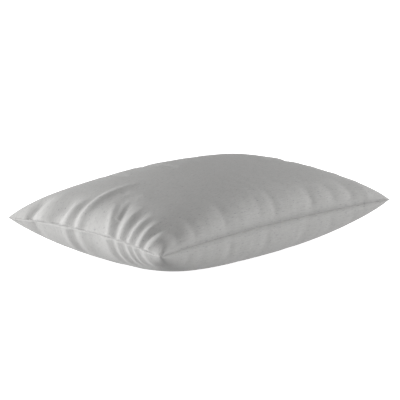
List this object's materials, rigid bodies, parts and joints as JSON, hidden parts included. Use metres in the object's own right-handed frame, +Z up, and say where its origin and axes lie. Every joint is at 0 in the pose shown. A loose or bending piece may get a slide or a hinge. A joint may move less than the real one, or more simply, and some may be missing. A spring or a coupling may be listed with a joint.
{
  "type": "bed pillow",
  "caption": "Rectangular bed pillow: knife-edge woven cover sewn from two panels over a lined fibre filling, plumped up and lying flat.",
  "frame": {"origin": "under the middle of the pillow, on the face that it lies on", "axes": "+X along the pillow towards the hand-closed short edge, +Y across it, +Z up out of the resting face"},
  "size_m": [0.72, 0.48, 0.1859],
  "materials": {
    "cover_cloth": "plain-woven light grey cotton with fine darker flecks and slubs, matte",
    "cover_thread": "grey spun polyester sewing thread, matte",
    "label_satin": "blank white woven satin tape, soft sheen",
    "liner_cloth": "white spunbonded non-woven, matte",
    "liner_thread": "white spun polyester sewing thread, matte",
    "fibre": "lofty white hollow polyester fibre, matte"
  },
  "bodies": {
    "root": {"cover_top_panel": "cover_cloth", "cover_bottom_panel": "cover_cloth", "edge_seam_thread": "cover_thread", "closing_seam_thread": "cover_thread", "care_label": "label_satin", "liner_top_panel": "liner_cloth", "liner_bottom_panel": "liner_cloth", "liner_seam_thread": "liner_thread", "liner_closing_thread": "liner_thread", "fibre_filling": "fibre"}
  },
  "joints": []
}
